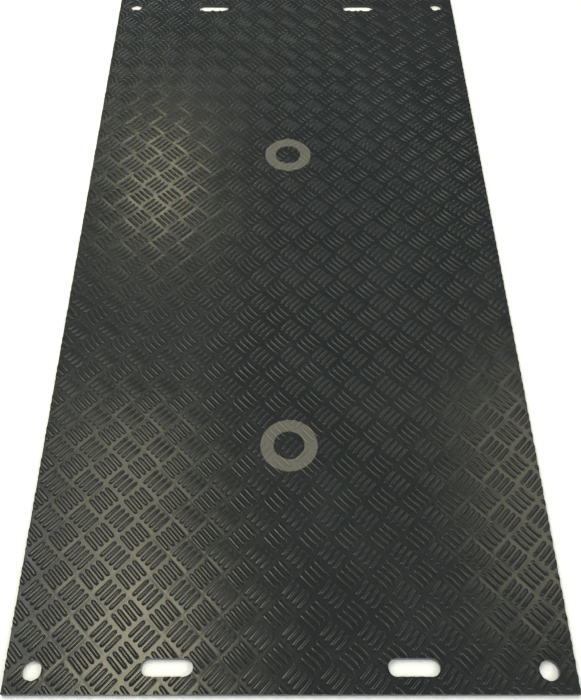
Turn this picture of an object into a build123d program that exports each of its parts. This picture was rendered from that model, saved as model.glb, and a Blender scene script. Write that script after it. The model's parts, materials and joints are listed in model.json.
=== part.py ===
# Ground protection mat: one moulded plastic plate that is laid over soft ground
# as a track for vehicles and feet. Its top carries a raised tread of bar groups
# that stand across one another like a basket weave. A round hole at each corner
# takes a ground pin or a connector, and two hand slots at each end are for
# carrying and dragging.
#
# Frame: millimetres, +Z up, +Y along the mat. The origin is at the middle of the
# underside, so the mat lies on the ground as modelled.

from build123d import *
from math import atan2, ceil, degrees, hypot
import os

os.makedirs("parts", exist_ok=True)

# Plate
mat_width = 1200.0
mat_length = 2400.0
plate_thickness = 12.0

# Round holes, one at each corner
corner_hole_diameter = 42.0
corner_hole_to_side = 57.0
corner_hole_to_end = 48.0

# Hand slots, two at each end
hand_slot_length = 110.0
hand_slot_width = 37.0
hand_slot_to_side = 340.0
hand_slot_to_end = 54.0

# Tread: the distance at which the pattern repeats each way, and where one group
# of bars that leans to the right stands from the middle of the mat
tread_repeat_x = 81.6
tread_repeat_y = 89.2
tread_shift_x = 13.0
tread_shift_y = -11.4
tread_height = 3.0

# One group of bars, moulded as a single ridge over the width of its four bars
group_length = 49.5
group_width = 56.0
group_end_slope = 8.0

# A crumb of tread smaller than this, cut off by an edge, isn't left standing
smallest_offcut = 150.0

# Centre-to-centre spacings of the holes and slots, as set by their edge distances
corner_hole_spacing_x = mat_width - 2 * corner_hole_to_side
corner_hole_spacing_y = mat_length - 2 * corner_hole_to_end
hand_slot_spacing_x = mat_width - 2 * hand_slot_to_side
hand_slot_spacing_y = mat_length - 2 * hand_slot_to_end

# The groups stand along the diagonals of the repeat, one lean each way
lean = degrees(atan2(tread_repeat_y, tread_repeat_x))
group_reach = hypot(group_length, group_width) / 2


# Plate outline, with every hole that goes right through
with BuildSketch() as outline:
    Rectangle(mat_width, mat_length)
    with GridLocations(corner_hole_spacing_x, corner_hole_spacing_y, 2, 2):
        Circle(corner_hole_diameter / 2, mode=Mode.SUBTRACT)
    with GridLocations(hand_slot_spacing_x, hand_slot_spacing_y, 2, 2):
        SlotOverall(hand_slot_length, hand_slot_width, mode=Mode.SUBTRACT)

# The space above the outline: what the mould fills, and what trims the tread
with BuildPart() as trim:
    extrude(outline.sketch, amount=plate_thickness + tread_height)

# One ridge with its base at the origin, sloping down to all four sides
with BuildPart() as ridge:
    Wedge(
        group_length,
        tread_height,
        group_width,
        group_end_slope,
        group_width / 2,
        group_length - group_end_slope,
        group_width / 2,
        rotation=(90, 0, 0),
        align=(Align.CENTER, Align.MIN, Align.CENTER),
    )


def tread_spots():
    """Every place of the pattern whose ridge reaches the plate."""
    columns = ceil(mat_width / 2 / tread_repeat_x) + 1
    rows = ceil(mat_length / 2 / tread_repeat_y) + 1
    spots = []
    for column in range(-columns, columns + 1):
        for row in range(-rows, rows + 1):
            for half_step, angle in ((0, lean), (0.5, -lean)):
                x = tread_shift_x + (column + half_step) * tread_repeat_x
                y = tread_shift_y + (row + half_step) * tread_repeat_y
                in_width = abs(x) < mat_width / 2 + group_reach
                in_length = abs(y) < mat_length / 2 + group_reach
                if in_width and in_length:
                    spots.append(Location((x, y, plate_thickness), (0, 0, angle)))
    return spots


def meets_a_cut(spot):
    """True where a ridge may cross the plate's edge, a hole or a slot."""
    x = abs(spot.position.X)
    y = abs(spot.position.Y)
    past_side = x > mat_width / 2 - group_reach
    past_end = y > mat_length / 2 - group_reach
    from_hole = hypot(x - corner_hole_spacing_x / 2, y - corner_hole_spacing_y / 2)
    at_hole = from_hole < corner_hole_diameter / 2 + group_reach
    at_slot_x = abs(x - hand_slot_spacing_x / 2) < hand_slot_length / 2 + group_reach
    at_slot_y = abs(y - hand_slot_spacing_y / 2) < hand_slot_width / 2 + group_reach
    return past_side or past_end or at_hole or (at_slot_x and at_slot_y)


# Ridges that stand clear of every edge stay whole, and the rest are cut through
# by the edge, hole or slot that they meet
whole_ridges = []
cut_ridges = []
for spot in tread_spots():
    placed = ridge.part.moved(spot)
    if meets_a_cut(spot):
        pieces = (placed & trim.part).solids()
        cut_ridges += [piece for piece in pieces if piece.volume > smallest_offcut]
    else:
        whole_ridges.append(placed)

# The mat: plate and tread in one moulding
with BuildPart() as mat:
    extrude(outline.sketch, amount=plate_thickness)
    add(whole_ridges + cut_ridges)

mat.part.label = "mat"
export_step(mat.part, "parts/mat.step")
print("ridges", len(whole_ridges) + len(cut_ridges), "solids", len(mat.part.solids()))
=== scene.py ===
import bpy
import bmesh
import json
from math import atan2, cos, hypot, pi, radians, sin
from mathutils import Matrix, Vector


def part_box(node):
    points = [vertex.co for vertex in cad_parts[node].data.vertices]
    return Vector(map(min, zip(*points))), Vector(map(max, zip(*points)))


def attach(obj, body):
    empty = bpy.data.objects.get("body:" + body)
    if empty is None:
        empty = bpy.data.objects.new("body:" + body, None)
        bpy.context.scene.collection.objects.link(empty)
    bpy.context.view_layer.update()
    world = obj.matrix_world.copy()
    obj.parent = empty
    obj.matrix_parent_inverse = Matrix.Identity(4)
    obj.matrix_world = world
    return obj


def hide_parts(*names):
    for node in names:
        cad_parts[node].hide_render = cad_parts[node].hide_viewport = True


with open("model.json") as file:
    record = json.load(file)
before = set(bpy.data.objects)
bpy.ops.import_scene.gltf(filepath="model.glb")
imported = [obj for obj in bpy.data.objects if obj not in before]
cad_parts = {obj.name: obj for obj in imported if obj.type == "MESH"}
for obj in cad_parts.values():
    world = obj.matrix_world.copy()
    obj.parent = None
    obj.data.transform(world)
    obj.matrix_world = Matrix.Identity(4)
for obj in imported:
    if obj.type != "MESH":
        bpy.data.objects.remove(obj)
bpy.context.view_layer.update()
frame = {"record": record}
low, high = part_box("mat")
mounts = {mount["name"]: mount for mount in frame["record"]["mounts"]}
print("frame loaded")


def meshFrom(bm, name):
    mesh = bpy.data.meshes.new(name)
    bm.to_mesh(mesh)
    bm.free()
    return mesh


def place(data, name):
    piece = bpy.data.objects.new(name, data)
    bpy.context.scene.collection.objects.link(piece)
    return piece


def drop(piece):
    bpy.data.objects.remove(piece, do_unlink=True)


def plainMesh(piece):
    # what the piece's modifiers make of it
    graph = bpy.context.evaluated_depsgraph_get()
    return bpy.data.meshes.new_from_object(piece.evaluated_get(graph))


class Socket:
    # node maths written as Python: each operator adds its Math node
    def __init__(self, tree, socket):
        self.tree = tree
        self.socket = socket

    def pick(self, key):
        # another output of the same node
        return Socket(self.tree, self.socket.node.outputs[key])

    def maths(self, operation, *others):
        return self.tree.node("ShaderNodeMath", {"operation": operation}, (self, *others))

    def reflected(self, operation, other):
        return self.tree.node("ShaderNodeMath", {"operation": operation}, (other, self))

    def __add__(self, other):
        return self.maths("ADD", other)

    def __radd__(self, other):
        return self.reflected("ADD", other)

    def __sub__(self, other):
        return self.maths("SUBTRACT", other)

    def __rsub__(self, other):
        return self.reflected("SUBTRACT", other)

    def __mul__(self, other):
        return self.maths("MULTIPLY", other)

    def __rmul__(self, other):
        return self.reflected("MULTIPLY", other)

    def __truediv__(self, other):
        return self.maths("DIVIDE", other)

    def __rtruediv__(self, other):
        return self.reflected("DIVIDE", other)

    def __pow__(self, other):
        return self.maths("POWER", other)

    def __rpow__(self, other):
        return self.reflected("POWER", other)


class NodeTree:
    # fills the node tree of a shape, a material or the world
    def __init__(self, tree):
        self.tree = tree
        tree.nodes.clear()

    def node(self, kind, settings=None, sockets=(), out=0):
        # sockets are values or links, in order or by name or number
        # a list is several links to one socket
        made = self.tree.nodes.new(kind)
        for name, value in (settings or {}).items():
            setattr(made, name, value)
        if not isinstance(sockets, dict):
            sockets = dict(enumerate(sockets))
        for key, value in sockets.items():
            for item in value if isinstance(value, list) else [value]:
                if isinstance(item, Socket):
                    self.tree.links.new(item.socket, made.inputs[key])
                else:
                    made.inputs[key].default_value = item
        if len(made.outputs) == 0:
            return None
        return Socket(self, made.outputs[out])

    def vector(self, x, y, z):
        return self.node("ShaderNodeCombineXYZ", {}, (x, y, z))

    def noise(self, where, scale, detail, roughness):
        sockets = {"Vector": where, "Scale": scale, "Detail": detail, "Roughness": roughness}
        return self.node("ShaderNodeTexNoise", {}, sockets)

    def ramp(self, value, start, end, bottom=0.0, top=1.0):
        # a soft step from bottom to top
        settings = {"interpolation_type": "SMOOTHSTEP"}
        return self.node("ShaderNodeMapRange", settings, (value, start, end, bottom, top))

    def mix(self, factor, first, second):
        # 6 and 7 are the colours that go in, and 2 is the colour that comes out
        return self.node("ShaderNodeMix", {"data_type": "RGBA"}, {0: factor, 6: first, 7: second}, out=2)


# The moulded plate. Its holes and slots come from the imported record's mounts.
plate = {
    "thickness": 0.012,
    "roundSteps": 48,      # points round a corner hole
    "slotSteps": 20,       # points round each end of a hand slot
}

halfWidth = high.x
halfLength = high.y
peak = high.z
holeSize = mounts["corner_holes"]["dims"]
holeRadius = holeSize["hole_r_mm"] / 1000
holeX = holeSize["spacing_x_mm"] / 2000
holeY = holeSize["spacing_y_mm"] / 2000
slotSize = mounts["hand_slots"]["dims"]
slotRadius = slotSize["hole_r_mm"] / 1000
slotHalfStraight = slotSize["slot_length_mm"] / 2000 - slotRadius
slotX = slotSize["spacing_x_mm"] / 2000
slotY = slotSize["spacing_y_mm"] / 2000
corners = [(-1, -1), (1, -1), (1, 1), (-1, 1)]


def holeOutline(x, y):
    steps = plate["roundSteps"]
    turns = [2 * pi * i / steps for i in range(steps)]
    return [(x + holeRadius * cos(turn), y + holeRadius * sin(turn)) for turn in turns]


def slotOutline(x, y):
    steps = plate["slotSteps"]
    points = []
    for side in (1, -1):
        for i in range(steps + 1):
            turn = -pi / 2 + pi * i / steps
            along = slotHalfStraight + slotRadius * cos(turn)
            points.append((x + side * along, y + side * slotRadius * sin(turn)))
    return points


def plateSolid(bottom, top):
    # outline and holes filled once, then lifted into a closed slab
    bm = bmesh.new()
    loops = [[(x * halfWidth, y * halfLength) for x, y in corners]]
    loops += [holeOutline(x * holeX, y * holeY) for x, y in corners]
    loops += [slotOutline(x * slotX, y * slotY) for x, y in corners]
    edges = []
    for loop in loops:
        verts = [bm.verts.new((x, y, bottom)) for x, y in loop]
        edges += [bm.edges.new((verts[i - 1], verts[i])) for i in range(len(verts))]
    filled = bmesh.ops.triangle_fill(bm, edges=edges, use_beauty=True, use_dissolve=False)
    faces = [item for item in filled["geom"] if isinstance(item, bmesh.types.BMFace)]
    lifted = bmesh.ops.extrude_face_region(bm, geom=faces, use_keep_orig=True)
    moved = [item for item in lifted["geom"] if isinstance(item, bmesh.types.BMVert)]
    bmesh.ops.translate(bm, verts=moved, vec=(0, 0, top - bottom))
    bmesh.ops.recalc_face_normals(bm, faces=bm.faces)
    return bm


# The tread: groups of four bars, every other group turned across its neighbours.
tread = {
    "repeatX": 0.0816,
    "repeatY": 0.0892,
    "shiftX": 0.0130,      # one group that leans to the right, from the mat's middle
    "shiftY": -0.0114,
    "columns": 19,         # odd, so that one group stands on the shift itself
    "rows": 31,
    "bars": 4,
    "barLength": 0.0495,
    "endSteps": 4,         # faces round each end of a bar
    "sunk": 0.0004,        # how far the foot reaches into the plate
    # a bar's rings from foot to top: share of the height, half width, length of the round end,
    # and how far each end is pulled in
    "rings": [
        (0.0, 0.0056, 0.0065, 0.0),
        (0.73, 0.0040, 0.0050, 0.0028),
        (1.0, 0.0019, 0.0034, 0.0068),
    ],
    "edgeChecks": 4,       # places each way along a bar that are checked for an edge
    "sharpAngle": 48,      # edges above this many degrees stay sharp
}

groupPitch = hypot(tread["repeatX"], tread["repeatY"]) / 2
barPitch = groupPitch / tread["bars"]
lean = atan2(tread["repeatY"], tread["repeatX"])


def barSolid():
    # a long low bar along X: steep flanks, rounded ends and a narrow top with soft edges
    height = peak - plate["thickness"]
    half = tread["barLength"] / 2
    steps = tread["endSteps"]
    turns = [-pi / 2 + pi * i / steps for i in range(steps + 1)]
    bm = bmesh.new()
    rings = []
    for share, width, run, pull in tread["rings"]:
        z = height * share if rings else -tread["sunk"]
        ring = []
        for side in (1, -1):
            for turn in turns:
                x = half - pull - run + run * cos(turn)
                ring.append(bm.verts.new((side * x, side * width * sin(turn), z)))
        rings.append(ring)
    for outer, inner in zip(rings, rings[1:]):
        for i in range(len(inner)):
            bm.faces.new((outer[i - 1], outer[i], inner[i], inner[i - 1]))
    bm.faces.new(rings[0][::-1])
    bm.faces.new(rings[-1])
    bmesh.ops.recalc_face_normals(bm, faces=bm.faces)
    for face in bm.faces:
        face.smooth = True
    return bm


def treadTree():
    inputs = {
        "Columns": ("NodeSocketInt", tread["columns"]),
        "Rows": ("NodeSocketInt", tread["rows"]),
        "Repeat X": ("NodeSocketFloat", tread["repeatX"]),
        "Repeat Y": ("NodeSocketFloat", tread["repeatY"]),
        "Shift X": ("NodeSocketFloat", tread["shiftX"]),
        "Shift Y": ("NodeSocketFloat", tread["shiftY"]),
        "Height": ("NodeSocketFloat", plate["thickness"]),
        "Lean": ("NodeSocketFloat", lean),
        "Bars": ("NodeSocketInt", tread["bars"]),
        "Bar Pitch": ("NodeSocketFloat", barPitch),
        "Bar": ("NodeSocketObject", None),
        "Finish": ("NodeSocketMaterial", None),
    }
    group = bpy.data.node_groups.new("treadGroups", "GeometryNodeTree")
    group.interface.new_socket("Geometry", in_out="OUTPUT", socket_type="NodeSocketGeometry")
    for name, (kind, value) in inputs.items():
        socket = group.interface.new_socket(name, in_out="INPUT", socket_type=kind)
        if value is not None:
            socket.default_value = value
    tree = NodeTree(group)
    entry = tree.node("NodeGroupInput")
    given = {name: entry.pick(name) for name in inputs}

    # one group: bars side by side across Y, about the group's middle
    first = (given["Bars"] - 1) * (given["Bar Pitch"] * -0.5)
    row = tree.node("GeometryNodeMeshLine", {"mode": "OFFSET"}, {
        "Count": given["Bars"],
        "Start Location": tree.vector(0, first, 0),
        "Offset": tree.vector(0, given["Bar Pitch"], 0),
    })
    bar = tree.node("GeometryNodeObjectInfo", {"transform_space": "ORIGINAL"}, {"Object": given["Bar"]},
                    out="Geometry")
    bars = tree.node("GeometryNodeInstanceOnPoints", {}, {"Points": row, "Instance": bar})

    # two grids of groups, the second half a repeat on and leaning the other way
    layers = []
    for halfStep, side in ((0.0, 1.0), (0.5, -1.0)):
        grid = tree.node("GeometryNodeMeshGrid", {}, {
            "Size X": (given["Columns"] - 1) * given["Repeat X"],
            "Size Y": (given["Rows"] - 1) * given["Repeat Y"],
            "Vertices X": given["Columns"],
            "Vertices Y": given["Rows"],
        })
        x = given["Shift X"] + given["Repeat X"] * halfStep
        y = given["Shift Y"] + given["Repeat Y"] * halfStep
        offset = tree.vector(x, y, given["Height"])
        moved = tree.node("GeometryNodeSetPosition", {}, {"Geometry": grid, "Offset": offset})
        layers.append(tree.node("GeometryNodeInstanceOnPoints", {}, {
            "Points": moved,
            "Instance": bars,
            "Rotation": tree.vector(0, 0, given["Lean"] * side),
        }))
    joined = tree.node("GeometryNodeJoinGeometry", {}, {0: layers})
    real = tree.node("GeometryNodeRealizeInstances", {}, {"Geometry": joined})
    finished = tree.node("GeometryNodeSetMaterial", {}, {"Geometry": real, "Material": given["Finish"]})
    tree.node("NodeGroupOutput", {}, (finished,))
    return group


def runTree(group, values, name):
    # the tree's result as a plain mesh, with the modifier gone
    entries = [entry for entry in group.interface.items_tree if entry.in_out == "INPUT"]
    identifiers = {entry.name: entry.identifier for entry in entries}
    holder = place(bpy.data.meshes.new(name), name)
    modifier = holder.modifiers.new(name, "NODES")
    modifier.node_group = group
    for key, value in values.items():
        modifier[identifiers[key]] = value
    mesh = plainMesh(holder)
    holder.modifiers.clear()
    drop(holder)
    return mesh


def clearance(x, y):
    # from a point to the nearest edge of the plate, hole or slot; below 0 where there is no plate
    x = abs(x)
    y = abs(y)
    toEdge = min(halfWidth - x, halfLength - y)
    toHole = hypot(x - holeX, y - holeY) - holeRadius
    alongSlot = max(abs(x - slotX) - slotHalfStraight, 0)
    toSlot = hypot(alongSlot, y - slotY) - slotRadius
    return min(toEdge, toHole, toSlot)


def sortBars(mesh, count):
    # the first vertex of each whole bar, and of each bar that an edge or a hole cuts
    whole = []
    cut = []
    checks = tread["edgeChecks"]
    steps = [tread["barLength"] / 2 * i / checks for i in range(-checks, checks + 1)]
    foot = tread["rings"][0][1]
    for start in range(0, len(mesh.vertices), count):
        block = [mesh.vertices[i].co for i in range(start, start + count)]
        middle = sum(block, Vector()) / count
        tip = max(block, key=lambda point: (point - middle).length)
        along = Vector((tip.x - middle.x, tip.y - middle.y)).normalized()
        near = [clearance(middle.x + along.x * step, middle.y + along.y * step) for step in steps]
        if min(near) > foot:
            whole.append(start)
        elif max(near) > -foot:
            cut.append(start)
    return whole, cut


def keepBlocks(mesh, starts, count):
    # the mesh with only the bars that begin at these vertices
    bm = bmesh.new()
    bm.from_mesh(mesh)
    kept = {i for start in starts for i in range(start, start + count)}
    bm.verts.ensure_lookup_table()
    extra = [vert for vert in bm.verts if vert.index not in kept]
    bmesh.ops.delete(bm, geom=extra, context="VERTS")
    return bm


def trimBars(bm):
    # cut bars end flush with the plate's side, hole or slot
    bars = place(meshFrom(bm, "cutBars"), "cutBars")
    # the plate's outline as a space that reaches past the bars, below and above
    bottom = plate["thickness"] / 2
    top = peak * 1.5
    keep = place(meshFrom(plateSolid(bottom, top), "keepSpace"), "keepSpace")
    boolean = bars.modifiers.new("trim", "BOOLEAN")
    boolean.operation = "INTERSECT"
    boolean.solver = "EXACT"
    boolean.object = keep
    mesh = plainMesh(bars)
    drop(bars)
    drop(keep)
    return mesh


def buildMat(finish):
    barMesh = meshFrom(barSolid(), "bar")
    count = len(barMesh.vertices)
    bar = place(barMesh, "bar")
    allBars = runTree(treadTree(), {"Bar": bar, "Finish": finish}, "treadBars")
    drop(bar)
    print("bars placed", len(allBars.vertices) // count)
    whole, cut = sortBars(allBars, count)
    trimmed = trimBars(keepBlocks(allBars, cut, count))
    print("bars whole", len(whole), "cut", len(cut))

    bm = keepBlocks(allBars, whole, count)
    bm.from_mesh(trimmed)
    bm.from_mesh(meshFrom(plateSolid(low.z, plate["thickness"]), "slab"))
    bmesh.ops.recalc_face_normals(bm, faces=bm.faces)
    mesh = meshFrom(bm, "matMoulding")
    mesh.materials.clear()
    mesh.materials.append(finish)
    mesh.polygons.foreach_set("material_index", [0] * len(mesh.polygons))
    mesh.set_sharp_from_angle(angle=radians(tread["sharpAngle"]))
    return place(mesh, "mat_moulding")


# The plastic: dark green-black with a soft sheen, and two plain rings printed on the tread.
plastic = {
    "dark": (0.0080, 0.0115, 0.0115, 1),
    "pale": (0.0150, 0.0195, 0.0190, 1),
    "paleFrom": 0.38,              # unevenness at which the pale colour starts
    "paleFull": 0.66,
    "roughness": 0.20,
    # each unevenness as scale, detail and roughness of its noise
    "blotches": (5.0, 4.0, 0.5),
    "mottle": (60.0, 3.0, 0.6),
    "grain": (900.0, 2.0, 0.5),
    "wave": (3.2, 2.0, 0.5),       # slow, over the whole plate
    "blotchColour": 0.6,           # share of the colour's unevenness, the rest is mottle
    "blotchRoughness": 0.14,
    "mottleRoughness": 0.08,
    "mottleHeight": 0.00003,
    "grainHeight": 0.0000016,
    "waveHeight": 0.0016,
    "pillowHeight": 0.00016,       # how far the plate sinks between the groups
    "pillowReach": 0.0044,
    "pillowEnd": (0.0002, 0.0006),  # fades out over these heights above the plate
    "ink": (0.165, 0.158, 0.130, 1),
    "inkCover": 0.92,
    "inkRoughness": 0.14,          # added to the plastic's own
    "inkEdge": 0.0006,
    "inkStart": (0.0010, 0.0005),  # fades in over these depths under the plate's top
    "ringOuter": 0.070,
    "ringInner": 0.038,
    "rings": [(0.003, 0.387), (0.0, -0.625)],
}


def plasticFinish():
    material = bpy.data.materials.new("mouldedPlastic")
    material.use_nodes = True
    tree = NodeTree(material.node_tree)
    where = tree.node("ShaderNodeTexCoord", out="Object")
    axes = tree.node("ShaderNodeSeparateXYZ", {}, (where,))
    x, y, z = (axes.pick(axis) for axis in "XYZ")
    blotches = tree.noise(where, *plastic["blotches"])
    mottle = tree.noise(where, *plastic["mottle"])
    grain = tree.noise(where, *plastic["grain"])
    wave = tree.noise(where, *plastic["wave"])

    share = plastic["blotchColour"]
    uneven = blotches * share + mottle * (1 - share)
    paleness = tree.ramp(uneven, plastic["paleFrom"], plastic["paleFull"])
    colour = tree.mix(paleness, plastic["dark"], plastic["pale"])

    def printedRing(centreX, centreY):
        away = ((x - centreX) ** 2.0 + (y - centreY) ** 2.0) ** 0.5
        edge = plastic["inkEdge"]
        inner = tree.ramp(away, plastic["ringInner"] - edge, plastic["ringInner"] + edge)
        outer = tree.ramp(away, plastic["ringOuter"] - edge, plastic["ringOuter"] + edge, 1.0, 0.0)
        return inner * outer

    top = plate["thickness"]
    inkDeep, inkFull = plastic["inkStart"]
    ink = sum(printedRing(*centre) for centre in plastic["rings"])
    ink = ink * tree.ramp(z, top - inkDeep, top - inkFull)
    colour = tree.mix(ink * plastic["inkCover"], colour, plastic["ink"])

    def besideChannel(across):
        # 0 in the middle of a channel, 1 away from it
        away = (across.maths("FRACT") - 0.5).maths("ABSOLUTE") * groupPitch
        return 1.0 - ((away / plastic["pillowReach"]) ** 2.0 * -1.0).maths("EXPONENT")

    # the plate sinks a little along the diagonal channels between the groups
    columns = (x - tread["shiftX"]) / tread["repeatX"]
    rows = (y - tread["shiftY"]) / tread["repeatY"]
    endLow, endHigh = plastic["pillowEnd"]
    onPlate = tree.ramp(z, top + endLow, top + endHigh, 1.0, 0.0)
    pillow = besideChannel(columns + rows) * besideChannel(columns - rows) * onPlate
    height = pillow * plastic["pillowHeight"] + wave * plastic["waveHeight"]
    height = height + mottle * plastic["mottleHeight"] + grain * plastic["grainHeight"]
    bump = tree.node("ShaderNodeBump", {}, {"Strength": 1.0, "Distance": 1.0, "Height": height})

    roughness = plastic["roughness"] + (blotches - 0.5) * plastic["blotchRoughness"]
    roughness = roughness + (mottle - 0.5) * plastic["mottleRoughness"] + ink * plastic["inkRoughness"]
    sockets = {"Base Color": colour, "Roughness": roughness, "Normal": bump}
    shader = tree.node("ShaderNodeBsdfPrincipled", {}, sockets)
    tree.node("ShaderNodeOutputMaterial", {}, (shader,))
    return material


moulding = buildMat(plasticFinish())
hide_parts("mat")
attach(moulding, "root")
print("mat built", sum(len(face.vertices) - 2 for face in moulding.data.polygons), "triangles")


# Floor: plain and pale. It looks white to the camera and keeps the mat's shadow.
floor = {
    "size": 30.0,
    "colour": 0.80,
    "lift": 0.55,          # added to the colour as the camera or a reflection sees it
}


def floorFinish():
    material = bpy.data.materials.new("paleFloor")
    material.use_nodes = True
    tree = NodeTree(material.node_tree)
    path = tree.node("ShaderNodeLightPath")
    seen = path.pick("Is Camera Ray")
    for ray in ("Is Glossy Ray", "Is Transmission Ray"):
        seen = seen.maths("MAXIMUM", path.pick(ray))
    bright = seen * floor["lift"] + floor["colour"]
    colour = tree.node("ShaderNodeCombineColor", {}, (bright, bright, bright))
    shader = tree.node("ShaderNodeBsdfDiffuse", {}, {"Color": colour})
    tree.node("ShaderNodeOutputMaterial", {}, (shader,))
    return material


def buildFloor():
    bm = bmesh.new()
    half = floor["size"] / 2
    bm.faces.new([bm.verts.new((x * half, y * half, low.z)) for x, y in corners])
    mesh = meshFrom(bm, "floor")
    mesh.materials.append(floorFinish())
    return place(mesh, "floor")


buildFloor()
print("floor laid")


# Lamps: warm ceiling panels whose reflections lie on the mat as glows, and a low window
# and plain lamps that draw the thin light lines along the bars. Without an aim a lamp
# looks straight down.
lamps = {
    "left": {"at": (-2.4, 0.1, 3.0), "aim": (0, -0.1, 0), "size": (0.8, 1.6), "power": 20,
             "colour": (0.97, 0.99, 1.0)},
    "window": {"at": (-1.5, 5.0, 1.0), "aim": (0, -0.3, 0), "size": (2.8, 1.0), "power": 31,
               "colour": (0.88, 0.96, 1.0)},
    "ceilingLeft": {"at": (-1.05, 1.7, 3.02), "size": (1.3, 5.6), "power": 8,
                    "colour": (1.0, 0.95, 0.78)},
    "panelNearLeft": {"at": (-0.86, -0.42, 3.0), "size": (0.62, 0.95), "power": 15.7,
                      "colour": (1.0, 0.93, 0.62)},
    "panelMidLeft": {"at": (-0.98, 0.55, 3.0), "size": (0.66, 1.1), "power": 9,
                     "colour": (1.0, 0.93, 0.62)},
    "panelFarLeft": {"at": (-0.98, 3.25, 3.0), "size": (0.46, 0.95), "power": 11,
                     "colour": (1.0, 0.92, 0.57)},
    "panelRight": {"at": (1.65, 0.58, 3.0), "size": (0.75, 1.6), "power": 11.5,
                   "colour": (1.0, 0.92, 0.62)},
    "right": {"at": (2.4, 1.0, 2.0), "aim": (0, -0.3, 0), "size": (0.5, 0.5), "power": 7.5,
              "colour": (1.0, 1.0, 1.0)},
    "behind": {"at": (2.6, -2.6, 3.0), "aim": (0, 0, 0), "size": (1.2, 1.2), "power": 24,
               "colour": (1.0, 1.0, 1.0)},
}


def buildLamps():
    for name, lamp in lamps.items():
        data = bpy.data.lights.new(name, "AREA")
        data.shape = "RECTANGLE"
        data.size, data.size_y = lamp["size"]
        data.energy = lamp["power"]
        data.color = lamp["colour"]
        light = place(data, name)
        light.location = lamp["at"]
        x, y, z = lamp["at"]
        aim = Vector(lamp.get("aim", (x, y, 0))) - light.location
        light.rotation_euler = aim.to_track_quat("-Z", "Y").to_euler()


# The room all round, a little dimmer towards its far end.
room = {
    "colour": (0.93, 0.98, 1.0, 1),
    "nearStrength": 0.43,
    "farStrength": 0.24,
    "fadeFrom": 0.35,      # share of the way towards the far end, by direction
    "fadeTo": 0.90,
}


def buildRoom():
    world = bpy.data.worlds.new("room")
    world.use_nodes = True
    tree = NodeTree(world.node_tree)
    towards = tree.node("ShaderNodeTexCoord", out="Generated")
    far = tree.node("ShaderNodeSeparateXYZ", {}, (towards,), out="Y")
    fade = (far, room["fadeFrom"], room["fadeTo"], room["nearStrength"], room["farStrength"])
    strength = tree.node("ShaderNodeMapRange", {}, fade)
    light = tree.node("ShaderNodeBackground", {}, {"Color": room["colour"], "Strength": strength})
    tree.node("ShaderNodeOutputWorld", {}, (light,))
    bpy.context.scene.world = world


buildLamps()
buildRoom()
print("lamps set")


# Camera: looks along the mat and down, from above its near end.
view = {
    "imageHeight": 700,         # pixels, as are the next two
    "focalLength": 835.9,
    "centreShift": 10.8,
    "pitch": 56.25,             # degrees below the horizon
    "over": (-0.0228, -1.5669),
    "height": 1.8295,           # above the plate's top
    "sensor": 36.0,
}


def buildCamera():
    data = bpy.data.cameras.new("camera")
    data.sensor_width = view["sensor"]
    data.lens = view["focalLength"] * view["sensor"] / view["imageHeight"]
    data.shift_x = view["centreShift"] / view["imageHeight"]
    camera = place(data, "camera")
    camera.location = (*view["over"], view["height"] + plate["thickness"])
    camera.rotation_euler = (radians(90 - view["pitch"]), 0, 0)
    bpy.context.scene.camera = camera


buildCamera()
bpy.context.scene.view_settings.view_transform = "Standard"
print("camera set")
